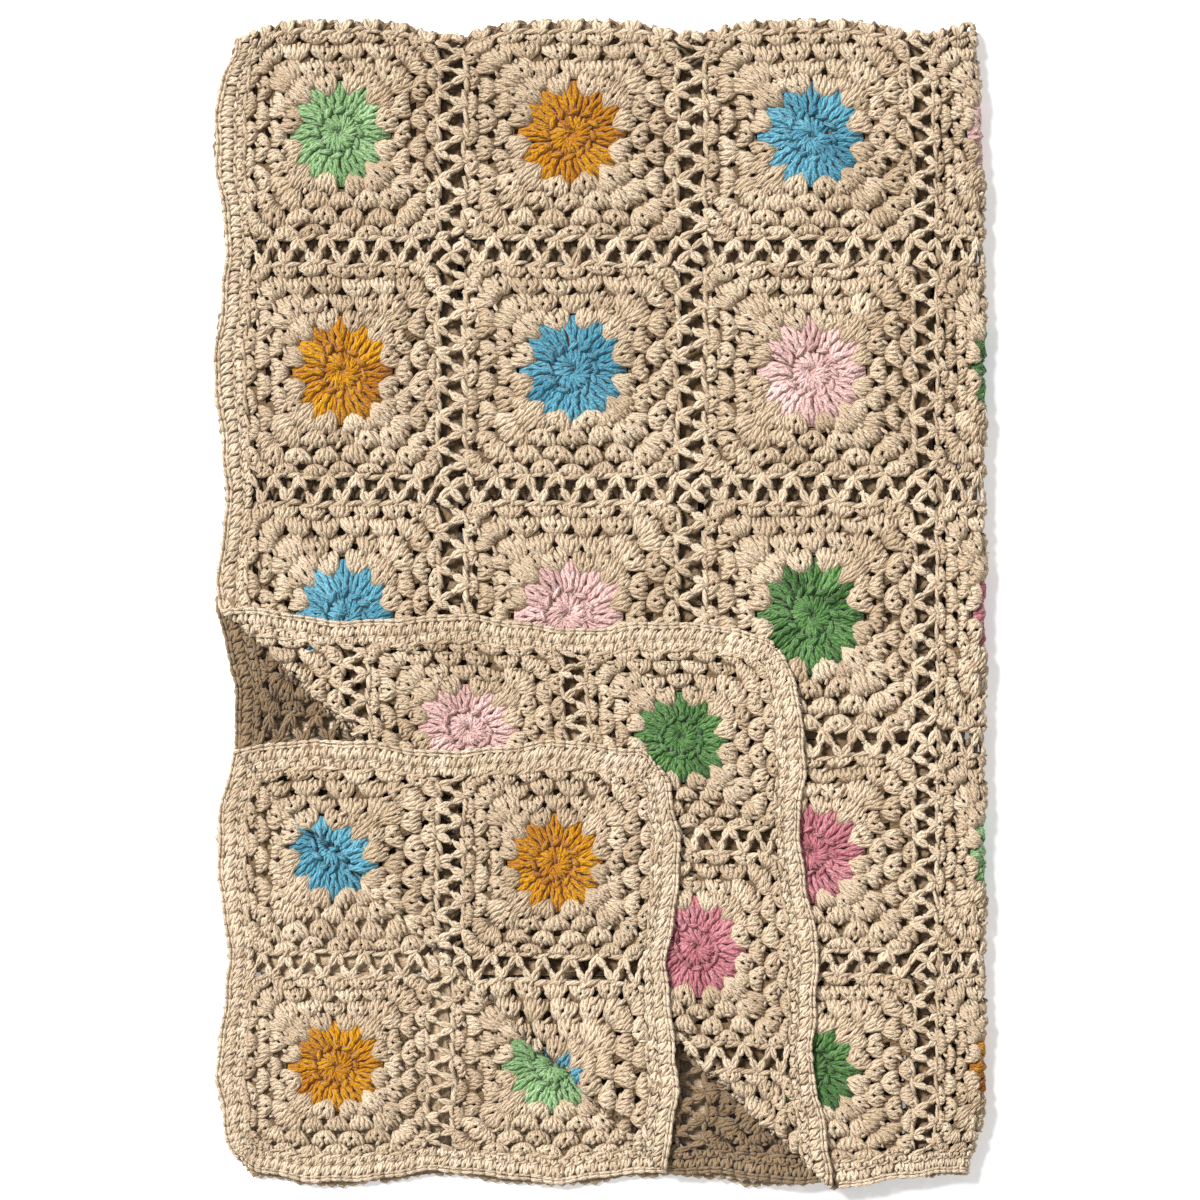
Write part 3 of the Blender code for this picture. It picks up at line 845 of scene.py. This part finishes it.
def lattice_legs():
    """All legs of the lattice on the flat throw."""
    starts, ends = [], []
    gap = LATTICE + 2 * EDGE_LAP
    for column, row in SQUARES:
        middle = square_middle(column, row)
        corner = middle + HALF_SQUARE * (1, 1)
        sides = (
            (column < COLUMNS - 1, (EDGE_LAP, 0), (0, SQUARE_LONG), -gap),
            (row < ROWS - 1, (0, EDGE_LAP), (SQUARE_WIDE, 0), gap),
        )
        for inner, lap, side, swing in sides:
            if inner:
                legs = zigzag(corner - lap - side, corner - lap, swing)
                starts.append(legs[0])
                ends.append(legs[1])
        if column < COLUMNS - 1 and row < ROWS - 1:
            far = corner + LATTICE
            starts.append(np.array([corner, corner + (LATTICE, 0)]))
            ends.append(np.array([far, corner + (0, LATTICE)]))
    return np.concatenate(starts), np.concatenate(ends)


leg_starts, leg_ends = lattice_legs()
above = kept(leg_starts, leg_ends, shows_above)
seen = shows_above(*((leg_starts + leg_ends) / 2).T)
hidden = (leg_starts[~seen], leg_ends[~seen])
make_piece("lattice_chains", [lay(LINK, *chained(*above, LEG_LINKS), **CHAIN)])
make_piece("lattice_inside", [lay(PLAIN, *hidden, **HIDDEN_BAR)])

# %% [markdown]
# ## The border
#
# Two rows of upright posts run all round, with loops between them, and a chain closes the edge. Where
# the border is open to view it has full posts. Its other stretches show at the pile's edges alone,
# and get plain ones.

# %% Posts and chain round the edge
POST_PITCH = 0.0086
ROW_INSET = 0.0150
BORDER_ROWS = ((0.0225, ROW_INSET), (ROW_INSET, 0.0034))
EDGE_INSET = 0.0018
BORDER_BRIGHT = 1.1
FULL_POST = {"width": 1.2, "loose": 0.0004, "bright": BORDER_BRIGHT}
PLAIN_POST = {"width": 1.5, "height": 0.8}
PLAIN_LINK = {"width": 1.2, "height": 0.8}


def outline(inset, count):
    """Evenly spaced places round the flat throw, inset from its edge."""
    wide, long = THROW_WIDTH - 2 * inset, THROW_LENGTH - 2 * inset
    corners = np.array([[0, 0], [wide, 0], [wide, long], [0, long], [0, 0]], dtype=float)
    lengths = np.cumsum([0, THROW_WIDTH, THROW_LENGTH, THROW_WIDTH, THROW_LENGTH])
    share = np.linspace(0, lengths[-1], count + 1)
    s = np.interp(share, lengths, corners[:, 0]) + inset
    t = np.interp(share, lengths, corners[:, 1]) + inset - THROW_LENGTH / 2
    return np.column_stack([s, t])


border_count = round(2 * (THROW_WIDTH + THROW_LENGTH) / POST_PITCH)
fine, plain = [], []
for foot, head in BORDER_ROWS:
    starts, ends = outline(foot, border_count)[:-1], outline(head, border_count)[:-1]
    seen = shows_above(*((starts + ends) / 2).T)
    fine.append(lay(POST, starts[seen], ends[seen], **FULL_POST))
    plain.append(lay(PLAIN, starts[~seen], ends[~seen], **PLAIN_POST))
for inset in (ROW_INSET, EDGE_INSET):
    loop = outline(inset, border_count)
    seen = shows_above(*((loop[:-1] + loop[1:]) / 2).T)
    pattern = EDGE_LINK if inset == EDGE_INSET else TOP_LOOP
    fine.append(lay(pattern, loop[:-1][seen], loop[1:][seen], loose=0.0, bright=BORDER_BRIGHT))
    if inset == EDGE_INSET:
        plain.append(lay(PLAIN, loop[:-1][~seen], loop[1:][~seen], **PLAIN_LINK))
make_piece("border_posts", fine)
make_piece("border_inside", plain)

# %% [markdown]
# ## The cloth between the stitches
#
# Under the stitches lies a thin web, the feet and loops that can't be told apart. It could be left
# out, but light would then fall between the posts, which real crochet doesn't let through. It is a
# grid that is wrapped round each square, with the holes between the groups' feet taken out.

# %% A grid for one square, with its holes
SECTORS = 72
WEB_LINES = (0.0, 0.47, 0.53, 0.575, 0.635, 0.71, 0.775, 0.865, 0.925, 1.0)
PLAIN_SECTORS = 24
PLAIN_LINES = (0.0, 0.45, 1.0)
# In the first round each side has three holes, and in the others one between each two groups' feet.
FIRST_HOLES = (1, (1 / 6, 1 / 2, 5 / 6))
HOLE_LINES = (3, 5, 7)


def web_pattern(sectors, lines, holes):
    """Points and faces of a flat grid: X is the way round from 0 to 1, Y is the way out."""
    deselect_all()
    bpy.ops.mesh.primitive_grid_add(
        x_subdivisions=sectors, y_subdivisions=len(lines) - 1, size=1, location=(0.5, 0.5, 0)
    )
    grid = bpy.context.object
    bpy.ops.object.transform_apply(location=True, rotation=True, scale=True)
    to_mode("EDIT")
    bpy.ops.mesh.select_mode(type="FACE")
    bpy.ops.mesh.select_all(action="DESELECT")
    to_mode("OBJECT")
    open_faces = {
        (row, round((quarter + share) / 4 * sectors) % sectors)
        for row, shares in holes for share in shares for quarter in range(4)
    }
    for face in grid.data.polygons:
        sector = int(face.center.x * sectors)
        line = int(face.center.y * (len(lines) - 1))
        face.select = (line, sector) in open_faces
    to_mode("EDIT")
    bpy.ops.mesh.delete(type="FACE")
    to_mode("OBJECT")
    points = np.array([v.co[:2] for v in grid.data.vertices])
    faces = np.array([p.vertices[:] for p in grid.data.polygons])
    bpy.data.objects.remove(grid, do_unlink=True)
    out = np.interp(points[:, 1], np.linspace(0, 1, len(lines)), lines)
    return np.column_stack([points[:, 0] - 0.5 / sectors, out]), faces


holes = [FIRST_HOLES]
for line, plan in zip(HOLE_LINES, ROUNDS[1:]):
    count = plan["around"] // 4
    middle = (WEB_LINES[line] + WEB_LINES[line + 1]) / 2
    holes.append((line, 0.5 + (np.arange(1, count) / count - 0.5) * plan["head"] / middle))
FINE_WEB = web_pattern(SECTORS, WEB_LINES, holes)
PLAIN_WEB = web_pattern(PLAIN_SECTORS, PLAIN_LINES, ())
print("a seen square's web has", len(FINE_WEB[1]), "faces, a hidden one", len(PLAIN_WEB[1]))

# %% [markdown]
# The web lies a little behind the stitches, and its colour is painted darker than theirs, as painted
# shade for the bottom of a stitch, which gets little light. A square in view gets the fine grid, and a
# hidden one the plain grid. The strips of the hidden layers and the border are covered too, and the
# seen strips stay open, so the gaps of the lattice are real ones. The web of the hidden layers and of
# the border gets painted shade as well, lighter than that of the seen squares. The parts are then
# welded and given a thickness, as a sheet has.

# %% The web of all squares, strips and of the border
# Painted shade: how dark the web is painted in the seen squares, the border and the hidden layers.
PAINTED_WEB_SHADE = 0.34
PAINTED_BORDER_WEB_SHADE = 0.55
PAINTED_HIDDEN_SHADE = 0.80
WEB_DEPTH = 0.0015
WEB_THICKNESS = 0.0014
WEB_TURNS = 24
EDGE_PLACES = 48
WELD = 0.00005
STRIP_GRID = np.array([(x, y) for y in (0, 0.5, 1) for x in (0, 0.5, 1)])
STRIP_FACES = np.array([(0, 1, 4, 3), (1, 2, 5, 4), (3, 4, 7, 6), (4, 5, 8, 7)])
BORDER_STEPS = 240
WEB_INSETS = (BORDER + 0.001, BORDER / 2, 0.0015)


def web_part(points, faces, ways, tone_and_shade):
    """A stretch of web in the form that make_piece takes, a little behind the stitches."""
    places = in_throw(points[:, 0], points[:, 1], -WEB_DEPTH * seen_side(*points.T))
    yarn = np.column_stack([np.cos(ways), np.sin(ways), 0.5 * np.hypot(*points.T)])
    return places, faces, tone_and_shade * shade(*points.T), yarn


web_parts = []
for square in SQUARES:
    middle = square_middle(*square)
    round_edge = np.linspace(0, 1, EDGE_PLACES, endpoint=False)
    edge = middle + HALF_SQUARE * round_place(round_edge, np.ones(EDGE_PLACES))
    bent = abs(settle(*middle)[0]) < COLUMN_PITCH / 2
    in_view = shows_above(*np.vstack([edge, middle]).T, bends=False).any()
    grid, tone_and_shade = (FINE_WEB, PAINTED_WEB_SHADE) if bent or in_view else (PLAIN_WEB, PAINTED_HIDDEN_SHADE)
    ways, outs = grid[0].T
    points = on_square(square, ways, outs)
    web_parts.append(web_part(points, grid[1], ways * 2 * math.pi * WEB_TURNS, tone_and_shade))
for column, row in SQUARES:
    corner = square_middle(column, row) + HALF_SQUARE
    strips = [
        (corner - (0, SQUARE_LONG), np.array([LATTICE, SQUARE_LONG]), column < COLUMNS - 1),
        (corner - (SQUARE_WIDE, 0), np.array([COLUMN_PITCH, LATTICE]), row < ROWS - 1),
    ]
    for low, size, inner in strips:
        if not inner or shows_above(*(low + size / 2), bends=True):
            continue
        ways = np.arange(len(STRIP_GRID)) * math.pi / 2
        web_parts.append(web_part(low + size * STRIP_GRID, STRIP_FACES, ways, PAINTED_HIDDEN_SHADE))
rings = [outline(inset, BORDER_STEPS)[:-1] for inset in WEB_INSETS]
ids = np.arange(BORDER_STEPS)
after = (ids + 1) % BORDER_STEPS
for inner, outer in zip(rings[:-1], rings[1:]):
    faces = np.column_stack([ids, ids + BORDER_STEPS, after + BORDER_STEPS, after])
    points = np.vstack([inner, outer])
    web_parts.append(web_part(points, faces, np.tile(ids * math.pi, 2), PAINTED_BORDER_WEB_SHADE))
web = make_piece("cloth_web", web_parts)
deselect_all()
web.select_set(True)
bpy.context.view_layer.objects.active = web
to_mode("EDIT")
bpy.ops.mesh.select_all(action="SELECT")
bpy.ops.mesh.remove_doubles(threshold=WELD)
bpy.ops.mesh.normals_make_consistent(inside=False)
to_mode("OBJECT")
wall = web.modifiers.new("thickness", "SOLIDIFY")
wall.thickness = WEB_THICKNESS
wall.offset = 0
bpy.ops.object.modifier_apply(modifier=wall.name)
print("web:", len(web.data.polygons), "faces")

# %% [markdown]
# ## Cotton
#
# The yarn is combed cotton, spun in plies and twisted. It is matt, with a faint bloom of loose fibres
# at grazing angles. The beige is undyed cotton, and the stars are vat-dyed. One helper adds a node,
# and one function makes the cotton in any colour, as only the dye differs.

# %% Helpers for the finishes
def linear(code):
    """An sRGB hex colour as the linear numbers that Blender mixes in."""
    values = [int(code[k:k + 2], 16) / 255 for k in (0, 2, 4)]
    return [v / 12.92 if v <= 0.04045 else ((v + 0.055) / 1.055) ** 2.4 for v in values] + [1.0]


def add_node(tree, kind, inputs=None, **settings):
    """Adds a shader node. An input is a value, or the output of another node to link to it."""
    made = tree.nodes.new("ShaderNode" + kind)
    for name, value in settings.items():
        setattr(made, name, value)
    for name, value in (inputs or {}).items():
        if isinstance(value, bpy.types.NodeSocket):
            tree.links.new(value, made.inputs[name])
        else:
            made.inputs[name].default_value = value
    return made


# %% [markdown]
# Five plies wind once round the yarn in 30 mm, so a ridge passes every 6 mm. Little light gets in
# between them, so the valleys are darker, and the colour looks deeper there too, which a gamma gives.
# A cotton fibre is far too fine to show in the render, so the fuzz is drawn as coarse as it needs to
# show, at about 2 mm. Slow patches of 9 cm stand for yarn whose colour varies a little.

# %% Crocheted cotton
PLY_TWIST = 0.030
PLIES = 5
FUZZ_SIZE = 0.0018
FUZZ_HEIGHT = 0.9
PATCH_SIZE = 0.09
VALLEY_TONE = 0.78
FUZZ_TONES = (0.86, 1.10)
PATCH_TONES = (0.93, 1.07)
DEEPEN = 1.4


def noise_tone(tree, place, size, low, high):
    """Noise with grains of one size, and the tones that it stands for."""
    inputs = {"Vector": place, "Scale": 1 / size, "Detail": 3.0}
    noise = add_node(tree, "TexNoise", inputs).outputs["Fac"]
    tones = add_node(tree, "MapRange", {0: noise, 1: 0.3, 2: 0.7, 3: low, 4: high})
    return noise, tones.outputs[0]


def cotton(name, code):
    """Plied cotton yarn: ridges wind along each strand, with fine fuzz and uneven dye."""
    material = bpy.data.materials.new(name)
    material.use_nodes = True
    tree = material.node_tree
    tree.nodes.clear()
    place = add_node(tree, "TexCoord").outputs["Object"]
    # The tone attribute carries each stitch's own tone together with painted shade: the deep second layer,
    # the stitches' low points and the darker web.
    tone_and_shade = add_node(tree, "Attribute", attribute_name="tone_and_shade").outputs["Fac"]
    yarn = add_node(tree, "Attribute", attribute_name="yarn").outputs["Vector"]
    parts = add_node(tree, "SeparateXYZ", {0: yarn}).outputs
    angle = add_node(tree, "Math", {0: parts["Y"], 1: parts["X"]}, operation="ARCTAN2")
    turned = add_node(tree, "Math", {0: angle.outputs[0], 1: float(PLIES)}, operation="MULTIPLY")
    wound = add_node(
        tree, "Math",
        {0: parts["Z"], 1: 2 * math.pi * PLIES / PLY_TWIST, 2: turned.outputs[0]},
        operation="MULTIPLY_ADD",
    )
    wave = add_node(tree, "Math", {0: wound.outputs[0]}, operation="SINE").outputs[0]
    ply = add_node(tree, "MapRange", {0: wave, 1: -1.0, 2: 1.0, 3: VALLEY_TONE, 4: 1.0}).outputs[0]
    fuzz, grain = noise_tone(tree, place, FUZZ_SIZE, *FUZZ_TONES)
    _, drift = noise_tone(tree, place, PATCH_SIZE, *PATCH_TONES)
    shade = ply
    for factor in (grain, drift, tone_and_shade):
        shade = add_node(tree, "Math", {0: shade, 1: factor}, operation="MULTIPLY").outputs[0]
    depth = add_node(tree, "MapRange", {0: shade, 1: 0.2, 2: 1.0, 3: 1 + DEEPEN, 4: 1.0}).outputs[0]
    dye = add_node(tree, "Gamma", {"Color": linear(code), "Gamma": depth}).outputs[0]
    colour = add_node(tree, "VectorMath", {0: dye, "Scale": shade}, operation="SCALE").outputs[0]
    height = add_node(tree, "Math", {0: fuzz, 1: FUZZ_HEIGHT, 2: ply}, operation="MULTIPLY_ADD").outputs[0]
    bump = add_node(tree, "Bump", {"Strength": 0.8, "Distance": 0.0025, "Height": height}).outputs[0]
    shader = add_node(
        tree, "BsdfPrincipled",
        {"Base Color": colour, "Roughness": 0.92, "Normal": bump, "Sheen Weight": 0.25,
         "Sheen Roughness": 0.5, "Specular IOR Level": 0.2},
    )
    add_node(tree, "OutputMaterial", {"Surface": shader.outputs[0]})
    return material


DYES = {
    "light_green": "A9CC96", "mustard": "DA9E06", "blue": "73B6CA", "light_pink": "F8D6D0",
    "dark_green": "6C9857", "rose": "D8929A",
}
undyed = cotton("undyed_combed_cotton_crocheted", "EAD5B9")
for piece in pieces:
    title = piece.name.removeprefix("star_")
    dyed = cotton("vat_dyed_cotton_" + title, DYES[title]) if title in DYES else undyed
    piece.data.materials.append(dyed)
print(len(DYES), "dyed cottons and one undyed")

# %% [markdown]
# ## What the throw is
#
# Every piece is attached to the root body, and the solid throw is hidden, as all of them stand for it
# and lie still with it.

# %% Attach the pieces and hide the solid throw
for piece in pieces:
    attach(piece, "root")
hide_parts("throw")
print(sum(2 * len(p.data.polygons) for p in pieces), "triangles in all, about")

# %% [markdown]
# ## Floor, light and camera
#
# The photo looks straight down on a white ground, in soft light from the upper left. A big soft lamp
# gives the stitches their shade, and a pale sky fills it in.

# %% The white ground
deselect_all()
bpy.ops.mesh.primitive_plane_add(size=8, location=(0, 0, 0))
floor = bpy.context.object
floor.name = "floor"
paper = bpy.data.materials.new("matt_white_paper")
paper.use_nodes = True
paper_inputs = {
    "Base Color": linear("FCFCFC"), "Roughness": 0.9,
    "Emission Color": (1, 1, 1, 1), "Emission Strength": 0.3,
}
for name, value in paper_inputs.items():
    paper.node_tree.nodes["Principled BSDF"].inputs[name].default_value = value
floor.data.materials.append(paper)
print("ground:", floor.name)

# %% Soft light from the upper left
key = bpy.data.lights.new("key", "SUN")
key.energy = 4.3
key.angle = math.radians(14)
key_lamp = bpy.data.objects.new("key", key)
key_lamp.location = (-1.6, 1.5, 2.2)
key_lamp.rotation_euler = (-key_lamp.location).to_track_quat("-Z", "Y").to_euler()
bpy.context.scene.collection.objects.link(key_lamp)
sky = bpy.data.worlds.new("pale sky")
sky.use_nodes = True
sky.node_tree.nodes["Background"].inputs["Color"].default_value = (1, 1, 1, 1)
sky.node_tree.nodes["Background"].inputs["Strength"].default_value = 0.42
bpy.context.scene.world = sky
bpy.context.scene.view_settings.view_transform = "Standard"
print("key light:", key.energy)

# %% The camera, straight above
FRAME_WIDE = 0.924
CAMERA_HIGH = 3.0
PILE_MIDDLE = 0.018
camera = bpy.data.cameras.new("camera")
camera.lens = camera.sensor_width * (CAMERA_HIGH - PILE_MIDDLE) / FRAME_WIDE
camera.clip_end = 50
eye = bpy.data.objects.new("camera", camera)
eye.location = (0, 0.003, CAMERA_HIGH)
bpy.context.scene.collection.objects.link(eye)
bpy.context.scene.camera = eye
print(f"lens {camera.lens:.1f} mm")
